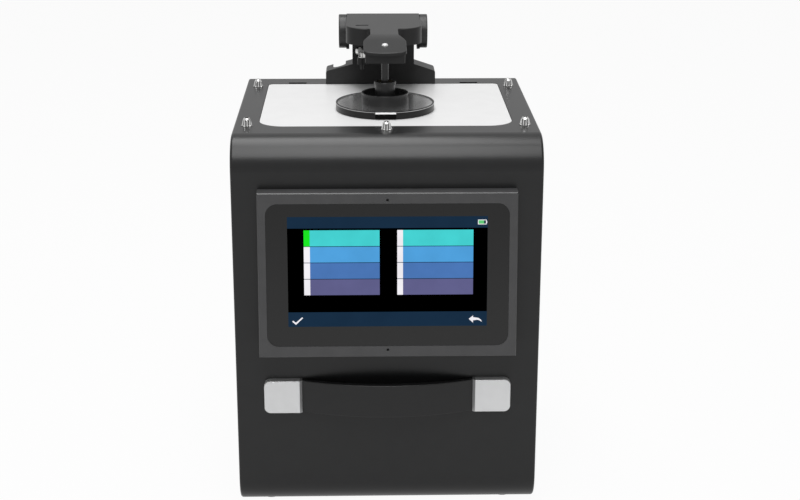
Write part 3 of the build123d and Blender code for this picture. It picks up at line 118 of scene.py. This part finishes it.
def surface(name, color, roughness, metallic=0.0, specular=0.5, spread=0.06, grain=GRAIN, bumps=0.15,
            depth=GRAIN_DEPTH, stretch=None):
    """A surface whose colour varies by spread and whose fine grain has the given scale and depth."""
    material, shader, coords = new_material(name)
    tree = material.node_tree
    clouds = noise(tree, coords, grain / CLOUD_COARSENESS, stretch)
    tree.links.new(clouded(tree, clouds, color, spread), shader.inputs["Base Color"])
    shader.inputs["Roughness"].default_value = roughness
    shader.inputs["Metallic"].default_value = metallic
    shader.inputs["Specular IOR Level"].default_value = specular
    bump = tree.nodes.new("ShaderNodeBump")
    bump.inputs["Strength"].default_value = bumps
    bump.inputs["Distance"].default_value = depth
    tree.links.new(noise(tree, coords, grain, stretch), bump.inputs["Height"])
    tree.links.new(bump.outputs["Normal"], shader.inputs["Normal"])
    return material


def near_place(tree, axis, place, reach):
    """1 within reach of a place along an axis, and 0 elsewhere."""
    separate = tree.nodes.new("ShaderNodeSeparateXYZ")
    tree.links.new(tree.nodes["Texture Coordinate"].outputs["Object"], separate.inputs[0])
    compare = tree.nodes.new("ShaderNodeMath")
    compare.operation = "COMPARE"
    compare.inputs[1].default_value = place
    compare.inputs[2].default_value = reach
    tree.links.new(separate.outputs[axis], compare.inputs[0])
    return compare.outputs[0]


def two_tone(tree, factor, end, color):
    """Puts a flat colour where factor is 0, which is end A, or 1, which is end B."""
    base = tree.nodes["Principled BSDF"].inputs["Base Color"]
    mix = tree.nodes.new("ShaderNodeMix")
    mix.data_type = "RGBA"
    mix.inputs[end].default_value = rgba(color)
    tree.links.new(base.links[0].from_socket, mix.inputs["A" if end == "B" else "B"])
    tree.links.new(factor, mix.inputs["Factor"])
    tree.links.new(mix.outputs["Result"], base)


def banded_metal(name, color, roughness, height, reach, dark, specular=0.5):
    """Bare metal within reach of a height, and a grey of level dark elsewhere."""
    material = surface(name, color, roughness, specular=specular, spread=0.03, bumps=0.03)
    tree = material.node_tree
    band = near_place(tree, "Z", height, reach)
    two_tone(tree, band, "A", grey(dark))
    tree.links.new(band, tree.nodes["Principled BSDF"].inputs["Metallic"])
    return material


def shaded_silver(name, color, reach, shade):
    """Satin silver with painted shade: darker, by the factor shade, within reach of the plane x = 0."""
    material = surface(name, color, 0.38, metallic=0.6, spread=0.02, bumps=0.1)
    inner = near_place(material.node_tree, "X", 0.0, reach)
    two_tone(material.node_tree, inner, "B", [channel * shade for channel in color])
    return material


FINISHES = {
    "arm_paint": dict(color=(0.023, 0.023, 0.0233), roughness=0.34, specular=0.24, bumps=0.2,
                      depth=PAINT_DEPTH),
    "battery_wrap": dict(color=(0.02, 0.05, 0.16), roughness=0.25),
    "bezel_plastic": dict(color=(0.070, 0.070, 0.072), roughness=0.32),
    "black_anodised": dict(color=grey(0.01), roughness=0.5, metallic=0.3),
    "board_green": dict(color=(0.01, 0.08, 0.03), roughness=0.4, spread=0.3, grain=500.0),
    "bright_steel": dict(color=(0.62, 0.62, 0.61), roughness=0.22, metallic=1.0, bumps=0.1),
    "bush_brass": dict(color=(0.6, 0.42, 0.16), roughness=0.3, metallic=1.0),
    "case_paint": dict(color=(0.0120, 0.0122, 0.0126), roughness=0.3, specular=0.4, bumps=0.25,
                       depth=PAINT_DEPTH),
    "cast_alloy": dict(color=(0.5, 0.5, 0.51), roughness=0.45, metallic=1.0),
    # dark_screw and dull_steel serve as painted shade in the knurled screws' sockets and flutes
    "dark_screw": dict(color=grey(0.02), roughness=0.35, metallic=0.6, bumps=0.1),
    "dull_steel": dict(color=grey(0.22), roughness=0.3, metallic=1.0, bumps=0.05),
    "foot_rubber": dict(color=grey(0.008), roughness=0.7),
    "grating_mirror": dict(color=(0.7, 0.72, 0.78), roughness=0.05, metallic=1.0,
                           stretch=(1.0, 40.0, 1.0)),
    "lamp_glass": dict(color=(0.8, 0.85, 0.88), roughness=0.05),
    "lcd_panel": dict(color=grey(0.01), roughness=0.3),
    "pad_white": dict(color=grey(0.75), roughness=0.8, spread=0.03, grain=2500.0),
    "plain_sheet": dict(color=(0.45, 0.46, 0.47), roughness=0.4, metallic=1.0),
    "polished_steel": dict(color=(0.86, 0.86, 0.85), roughness=0.12, metallic=1.0, spread=0.03,
                           bumps=0.03),
    "press_black": dict(color=(0.018, 0.018, 0.0184), roughness=0.27, bumps=0.08),
    "screen_glass": dict(color=grey(0.006), roughness=0.06, specular=0.46, spread=0.02, bumps=0.0),
    "socket_metal": dict(color=grey(0.55), roughness=0.25, metallic=1.0),
    "socket_plastic": dict(color=grey(0.008), roughness=0.35),
    "sphere_coating": dict(color=grey(0.9), roughness=0.8, spread=0.01),
    "stage_paint": dict(color=grey(0.9), roughness=0.35, spread=0.01, bumps=0.05),
    "strap_rubber": dict(color=(0.009, 0.009, 0.0094), roughness=0.34, specular=0.4, bumps=0.3,
                         grain=1500.0),
    # On the disc's locating tab, strip_white is a painted highlight on its top and tab_black painted
    # shade on its front
    "strip_white": dict(color=grey(0.85), roughness=0.3, spread=0.02),
    "tab_black": dict(color=grey(0.0015), roughness=0.7, specular=0.1),
}
MATERIALS = {name: surface(name, **finish) for name, finish in FINISHES.items()}

# Nodes whose finish differs from their slot's: the brackets have painted shade, darker, on the bevels
# beside the strap, the disc is bare on the floor of its dish, and the bolt is bare down to the foot of
# its lug, with painted shade on its shank below that; the hinge bracket and caps are lighter, as
# painted light
BRACKET_FLAT = 28.1 * MM
BRACKET_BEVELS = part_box("handle_brackets")[1].x - BRACKET_FLAT
DISC_DISH = 0.6 * MM
DISC_BAND = 0.2 * MM
DISC_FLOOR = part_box("press_disc")[1].z - DISC_DISH
BOLT_BAND = 20 * MM
BOLT_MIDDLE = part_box("bolt_lug")[0].z + BOLT_BAND
OWN_FINISH = {
    # The brackets' darker bevels beside the strap are painted shade
    "handle_brackets": shaded_silver("bracket_satin_painted_shade", (0.80, 0.805, 0.81), BRACKET_BEVELS, 0.5),
    # The hinge bracket and caps are lighter than the arm paint, and the caps glossier: painted light on
    # parts in shade
    "hinge_bracket": surface("bracket_paint_painted_light", (0.031, 0.031, 0.0313), 0.34, specular=0.2,
                             depth=PAINT_DEPTH),
    "hinge_caps": surface("cap_paint_painted_light", (0.028, 0.028, 0.0283), 0.36, specular=0.4, depth=PAINT_DEPTH),
    "press_disc": banded_metal("turned_black", (0.56, 0.56, 0.562), 0.27, DISC_FLOOR, DISC_BAND,
                               0.007, specular=0.3),
    # The rod screw is bright metal; its near-white base colour is a painted highlight
    "rod_screw": surface("screw_silver_painted_highlight", grey(0.9), 0.3, metallic=0.25, spread=0.02, bumps=0.03),
    # On the wing bolt, the near black below the foot of its lug is painted shade on the shank
    "wing_bolt": banded_metal("wing_steel_painted_shade", (0.85, 0.85, 0.84), 0.28, BOLT_MIDDLE, BOLT_BAND, 0.004),
}
for node, obj in NODES.items():
    obj.data.materials.clear()
    obj.data.materials.append(OWN_FINISH[node] if node in OWN_FINISH else MATERIALS[SLOTS[node]])


def mesh_object(name, vertices, faces, materials, indices=()):
    """A mesh object in a slot, with each face's material index where it has several materials."""
    mesh = bpy.data.meshes.new(name)
    mesh.from_pydata([tuple(vertex) for vertex in vertices], [], faces)
    mesh.update()
    for material in materials:
        mesh.materials.append(material)
    for polygon, index in zip(mesh.polygons, indices):
        polygon.material_index = index
    obj = bpy.data.objects.new(name, mesh)
    bpy.context.scene.collection.objects.link(obj)
    return obj


# Knurled top screws, in mm: a scalloped flange, a fluted waist and a domed head with a hexagon socket

CASE_LOW, CASE_HIGH = (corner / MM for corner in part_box("wrap_cover"))
FRAME_TOP = CASE_HIGH.z
SIDE_INSET = 10.5
FRONT_INSET = 49.5
MIDDLE_INSET = 35.3
REAR_INSET = 33.0
SCREW_PLACES = [(side * (CASE_HIGH.x - SIDE_INSET), y) for side in (-1, 1)
                for y in (CASE_LOW.y + FRONT_INSET, CASE_HIGH.y - REAR_INSET)]
SCREW_PLACES.append((0.0, CASE_LOW.y + MIDDLE_INSET))
RING_STEPS = 72
FLUTES = 9
FLUTE_CURVE = 1.5
# Each ring is a radius, a height above the top frame and the depth of its flutes
SCREW_RINGS = [(2.0, -6.0, 0.0), (2.0, 0.0, 0.0), (4.55, 0.0, 0.8), (4.7, 0.15, 0.9), (4.7, 0.5, 0.9),
               (4.2, 0.62, 0.9), (3.95, 1.6, 1.0), (3.75, 2.4, 1.0), (3.45, 3.6, 0.9), (3.25, 4.6, 0.6),
               (3.05, 5.1, 0.15), (2.35, 6.1, 0.0), (1.9, 6.5, 0.0)]
# Each ring is half the socket's width across its flats, and a height
SOCKET_RINGS = [(1.5, 6.5), (1.45, 4.5)]
# dull_steel is painted shade in the flutes, and dark_screw is painted shade in the hexagon sockets
SCREW_MATERIALS = [MATERIALS["polished_steel"], MATERIALS["dull_steel"], MATERIALS["dark_screw"]]
POLISHED, FLUTE_SHADE, SOCKET_SHADE = range(3)
# The faces in the flutes that get painted shade, by the ring that they rise from and their step in the
# flute
SHADED_FLUTE_RINGS = range(5, 9)
SHADED_FLUTE_STEPS = range(2, 6)


def fluted_ring(radius, depth):
    """The radii round a ring with scalloped flutes of the given depth."""
    return [radius - depth * abs(math.sin(FLUTES * math.pi * step / RING_STEPS)) ** FLUTE_CURVE
            for step in range(RING_STEPS)]


def socket_ring(half_width):
    """The radii round a hexagon, from half its width across flats."""
    sector = math.pi / 3
    return [half_width / math.cos((math.tau * step / RING_STEPS) % sector - sector / 2)
            for step in range(RING_STEPS)]


def screw_finish_or_shade(ring, step):
    """The material index of the face from a ring to the next, at a step round it."""
    # The walls and floor of the hexagon socket get painted shade
    if ring >= len(SCREW_RINGS):
        return SOCKET_SHADE
    in_flute = step % (RING_STEPS // FLUTES) in SHADED_FLUTE_STEPS
    return FLUTE_SHADE if ring in SHADED_FLUTE_RINGS and in_flute else POLISHED


def screws_mesh():
    """The vertices, faces and material indices of all the screws."""
    rings = [(fluted_ring(radius, depth), height) for radius, height, depth in SCREW_RINGS]
    rings += [(socket_ring(half_width), height) for half_width, height in SOCKET_RINGS]
    vertices, faces, indices = [], [], []
    for centre_x, centre_y in SCREW_PLACES:
        first = len(vertices)
        for radii, height in rings:
            for step, radius in enumerate(radii):
                angle = math.tau * step / RING_STEPS
                x = centre_x + radius * math.cos(angle)
                y = centre_y + radius * math.sin(angle)
                vertices.append(Vector((x, y, FRAME_TOP + height)) * MM)
        last = len(vertices) - RING_STEPS
        for ring, low in enumerate(range(first, last, RING_STEPS)):
            high = low + RING_STEPS
            for step in range(RING_STEPS):
                beside = (step + 1) % RING_STEPS
                faces.append([low + step, low + beside, high + beside, high + step])
                indices.append(screw_finish_or_shade(ring, step))
        faces.append(list(reversed(range(first, first + RING_STEPS))))
        faces.append(list(range(last, last + RING_STEPS)))
        indices += [POLISHED, SOCKET_SHADE]
    return vertices, faces, indices


vertices, faces, indices = screws_mesh()
knurled = mesh_object("knurled_screws", vertices, faces, SCREW_MATERIALS, indices)
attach(knurled, "case")
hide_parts("top_screws")


# Press spring: a wire coil between the press and the rod's collar

SPRING_LOW, SPRING_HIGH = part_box("pad_spring")
WIRE_RADIUS = 0.5 * MM
COIL_RADIUS = (SPRING_HIGH.x - SPRING_LOW.x) / 2 - WIRE_RADIUS
COIL_MIDDLE = (SPRING_LOW + SPRING_HIGH) / 2
COIL_RISE = SPRING_HIGH.z - SPRING_LOW.z - 2 * WIRE_RADIUS
COIL_TURNS = 5
STEPS_PER_TURN = 36
WIRE_SIDES = 10


def coil_mesh():
    """The vertices and faces of the wire, as rings of WIRE_SIDES points along the helix."""
    steps = COIL_TURNS * STEPS_PER_TURN
    vertices, faces = [], []
    for step in range(steps + 1):
        height = SPRING_LOW.z + WIRE_RADIUS + COIL_RISE * step / steps
        turn = math.tau * step / STEPS_PER_TURN
        for side in range(WIRE_SIDES):
            angle = math.tau * side / WIRE_SIDES
            reach = COIL_RADIUS + WIRE_RADIUS * math.cos(angle)
            vertices.append((COIL_MIDDLE.x + reach * math.cos(turn),
                             COIL_MIDDLE.y + reach * math.sin(turn),
                             height + WIRE_RADIUS * math.sin(angle)))
    last = steps * WIRE_SIDES
    for near in range(0, last, WIRE_SIDES):
        far = near + WIRE_SIDES
        for side in range(WIRE_SIDES):
            beside = (side + 1) % WIRE_SIDES
            faces.append([near + side, far + side, far + beside, near + beside])
    faces.append(list(range(WIRE_SIDES)))
    faces.append(list(reversed(range(last, last + WIRE_SIDES))))
    return vertices, faces


vertices, faces = coil_mesh()
coil = mesh_object("press_coil", vertices, faces, [MATERIALS["bright_steel"]])
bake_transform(coil)
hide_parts("pad_spring")


# Picture on the screen, laid out in mm on the glass from the middle of its face

PICTURE_SPREAD = 0.04
PICTURE_GRAIN = 60.0
PICTURE_LIFT = 0.02
LAYER_STEP = 0.01
GLASS_LOW, GLASS_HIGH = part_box("touch_glass")
TILT = math.radians(5.6)
GLASS_UP = Vector((0.0, math.sin(TILT), math.cos(TILT)))
GLASS_OUT = Vector((0.0, -math.cos(TILT), math.sin(TILT)))
GLASS_THICKNESS = 1.8 * MM
GLASS_MIDDLE = (GLASS_LOW + GLASS_HIGH) / 2 + GLASS_OUT * GLASS_THICKNESS / 2


def glowing(name, color):
    """A lit patch of the screen's picture."""
    material, shader, coords = new_material(name)
    tree = material.node_tree
    tint = clouded(tree, noise(tree, coords, PICTURE_GRAIN), color, PICTURE_SPREAD)
    shader.inputs["Base Color"].default_value = rgba(grey(0.0))
    shader.inputs["Roughness"].default_value = 1.0
    shader.inputs["Specular IOR Level"].default_value = 0.0
    tree.links.new(tint, shader.inputs["Emission Color"])
    shader.inputs["Emission Strength"].default_value = 1.0
    return material


def on_glass(x, up, lift):
    """The point x to the right and up from the middle of the glass, lift in front of it."""
    return GLASS_MIDDLE + Vector((x * MM, 0.0, 0.0)) + GLASS_UP * (up * MM) + GLASS_OUT * (lift * MM)


def rectangle(left, top_edge, right_edge, bottom):
    """A rectangle's corners, as (x, up) pairs."""
    return [(left, bottom), (right_edge, bottom), (right_edge, top_edge), (left, top_edge)]


NAVY = glowing("picture_navy", (0.0095, 0.027, 0.056))
PICTURE_BLACK = glowing("picture_black", grey(0.0))
ICON_WHITE = glowing("picture_white", (0.88, 0.86, 0.9))
ICON_GREEN = glowing("picture_green", (0.012, 0.78, 0.018))
BATTERY_GREEN = glowing("picture_leaf", (0.12, 0.56, 0.18))
ROW_COLORS = [(0.06, 0.63, 0.63), (0.08, 0.35, 0.71), (0.07, 0.18, 0.46), (0.117, 0.115, 0.255)]
ROW_MATERIALS = [glowing(f"picture_row_{row}", color) for row, color in enumerate(ROW_COLORS)]

PICTURE_LEFT, PICTURE_RIGHT = -76.6, 76.4
PICTURE_TOP, PICTURE_BOTTOM = 46.0, -40.2
TOP_BAR_FOOT = 37.1
BOTTOM_BAR_HEAD = -28.7
# Each row's upper and lower edge, and each column's marker, bar and right edge
ROW_EDGES = [(35.6, 23.2), (22.7, 10.5), (10.0, -2.3), (-2.8, -15.2)]
COLUMNS = [(-64.1, -59.4, -6.2), (7.3, 11.7, 65.5)]
CHECK_MARK = [[(-73.7, -36.1), (-70.8, -38.6), (-70.8, -36.9), (-72.9, -35.3)],
              [(-70.8, -38.6), (-65.3, -33.3), (-66.0, -32.6), (-70.8, -36.9)]]
BACK_ARROW = [[(62.4, -34.7), (65.8, -37.8), (65.8, -32.0)],
              [(65.8, -35.9), (68.9, -35.5), (70.9, -36.0), (72.6, -37.2),
               (71.9, -35.4), (70.0, -34.0), (65.8, -33.4)]]
# Each shape is a material, the layer that it lies in, and its corners in order
PICTURE = [
    (PICTURE_BLACK, 0, rectangle(PICTURE_LEFT, PICTURE_TOP, PICTURE_RIGHT, PICTURE_BOTTOM)),
    (NAVY, 1, rectangle(PICTURE_LEFT, PICTURE_TOP, PICTURE_RIGHT, TOP_BAR_FOOT)),
    (NAVY, 1, rectangle(PICTURE_LEFT, BOTTOM_BAR_HEAD, PICTURE_RIGHT, PICTURE_BOTTOM)),
    *((ICON_WHITE, 2, points) for points in CHECK_MARK + BACK_ARROW),
    (ICON_WHITE, 2, rectangle(68.9, 43.3, 75.5, 39.6)),
    (BATTERY_GREEN, 3, rectangle(69.4, 42.8, 73.5, 40.1)),
    (NAVY, 3, rectangle(73.5, 42.8, 75.0, 40.1)),
    (ICON_WHITE, 2, rectangle(75.5, 42.2, 75.9, 40.6)),
]
for column, (marker_left, bar_left, bar_right) in enumerate(COLUMNS):
    PICTURE.append((NAVY, 1, rectangle(marker_left, ROW_EDGES[0][0], bar_right, ROW_EDGES[-1][1])))
    for row, (row_top, row_bottom) in enumerate(ROW_EDGES):
        marker = ICON_GREEN if row == 0 and column == 0 else ICON_WHITE
        PICTURE.append((marker, 2, rectangle(marker_left, row_top, bar_left, row_bottom)))
        PICTURE.append((ROW_MATERIALS[row], 2, rectangle(bar_left, row_top, bar_right, row_bottom)))


def picture_mesh():
    """The vertices, faces, materials and material indices of the picture's shapes."""
    vertices, faces, materials, indices = [], [], [], []
    for material, layer, points in PICTURE:
        if material not in materials:
            materials.append(material)
        indices.append(materials.index(material))
        faces.append(list(range(len(vertices), len(vertices) + len(points))))
        vertices += [on_glass(x, up, PICTURE_LIFT + LAYER_STEP * layer) for x, up in points]
    return vertices, faces, materials, indices


vertices, faces, materials, indices = picture_mesh()
picture = mesh_object("screen_picture", vertices, faces, materials, indices)
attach(picture, "case")


# Floor, light and camera

FLOOR_SIZE = 12.0
FLOOR_GREY = 0.85
FLOOR_GLOW = 0.95
MIRRORED_FLOOR = 0.65
MIRRORED_WORLD = 0.5
WORLD_FILL = 0.17
LAMP_TARGET = Vector((0.0, -0.1, 0.3))


def math_node(tree, operation, first, second):
    """The result of a math node; second is an output or a number."""
    node = tree.nodes.new("ShaderNodeMath")
    node.operation = operation
    tree.links.new(first, node.inputs[0])
    if isinstance(second, float):
        node.inputs[1].default_value = second
    else:
        tree.links.new(second, node.inputs[1])
    return node.outputs[0]


def clear_view(tree, mirrored_share):
    """1 for camera rays, a dimmer share for glossy and transmission rays, 0 for the rest."""
    rays = tree.nodes.new("ShaderNodeLightPath")
    mirrored = math_node(tree, "MAXIMUM", rays.outputs["Is Glossy Ray"],
                         rays.outputs["Is Transmission Ray"])
    return math_node(tree, "MAXIMUM", rays.outputs["Is Camera Ray"],
                     math_node(tree, "MULTIPLY", mirrored, mirrored_share))


def plain_shader(tree, kind, level):
    """A shader node of one grey."""
    node = tree.nodes.new(kind)
    node.inputs["Color"].default_value = rgba(grey(level))
    return node


def end_in_mix(tree, kind, factor, first, second):
    """Ends a node tree in a mix of two shader nodes."""
    mix = tree.nodes.new("ShaderNodeMixShader")
    tree.links.new(factor, mix.inputs["Fac"])
    tree.links.new(first.outputs[0], mix.inputs[1])
    tree.links.new(second.outputs[0], mix.inputs[2])
    tree.links.new(mix.outputs[0], tree.nodes.new(kind).inputs["Surface"])


bpy.ops.mesh.primitive_plane_add(size=FLOOR_SIZE, location=(0.0, 0.0, 0.0))
floor = bpy.context.object
floor.name = "floor"
floor_material = bpy.data.materials.new("floor_white")
floor_material.use_nodes = True
tree = floor_material.node_tree
tree.nodes.clear()
end_in_mix(tree, "ShaderNodeOutputMaterial",
           math_node(tree, "MULTIPLY", clear_view(tree, MIRRORED_FLOOR), FLOOR_GLOW),
           plain_shader(tree, "ShaderNodeBsdfDiffuse", FLOOR_GREY),
           plain_shader(tree, "ShaderNodeEmission", 1.0))
floor.data.materials.append(floor_material)

world = bpy.data.worlds.new("studio")
bpy.context.scene.world = world
world.use_nodes = True
tree = world.node_tree
tree.nodes.clear()
fill = plain_shader(tree, "ShaderNodeBackground", 1.0)
fill.inputs["Strength"].default_value = WORLD_FILL
end_in_mix(tree, "ShaderNodeOutputWorld", clear_view(tree, MIRRORED_WORLD), fill,
           plain_shader(tree, "ShaderNodeBackground", 1.0))


def softbox(name, location, width, height, power):
    """A rectangular area lamp at location that faces the object."""
    data = bpy.data.lights.new(name, "AREA")
    data.shape = "RECTANGLE"
    data.size = width
    data.size_y = height
    data.energy = power
    lamp = bpy.data.objects.new(name, data)
    lamp.location = location
    lamp.rotation_euler = (LAMP_TARGET - Vector(location)).to_track_quat("-Z", "Y").to_euler()
    bpy.context.scene.collection.objects.link(lamp)


softbox("overhead", (-0.12, 0.3, 1.96), 0.8, 1.15, 14.6)
softbox("front_top", (-0.05, -0.96, 1.78), 0.8, 1.36, 16.6)

CAMERA_PLACE = (-0.01991, -1.27921, 0.6001)
CAMERA_YAW = math.radians(1.451)
CAMERA_PITCH = math.radians(17.807)
CAMERA_ROLL = math.radians(0.112)
LENS_MM = 71.587
SENSOR_MM = 36.0
FAR_CLIP = 50.0
forward = Vector((math.sin(CAMERA_YAW) * math.cos(CAMERA_PITCH),
                  math.cos(CAMERA_YAW) * math.cos(CAMERA_PITCH), -math.sin(CAMERA_PITCH)))
level = forward.cross(Vector((0.0, 0.0, 1.0))).normalized()
upward = level.cross(forward)
right = level * math.cos(CAMERA_ROLL) + upward * math.sin(CAMERA_ROLL)
top = upward * math.cos(CAMERA_ROLL) - level * math.sin(CAMERA_ROLL)
camera_data = bpy.data.cameras.new("camera")
camera_data.lens = LENS_MM
camera_data.sensor_width = SENSOR_MM
camera_data.clip_end = FAR_CLIP
camera = bpy.data.objects.new("camera", camera_data)
rotation = Matrix((right, top, -forward)).transposed().to_4x4()
camera.matrix_world = Matrix.Translation(CAMERA_PLACE) @ rotation
bpy.context.scene.collection.objects.link(camera)
bpy.context.scene.camera = camera
bpy.context.scene.view_settings.view_transform = "Standard"
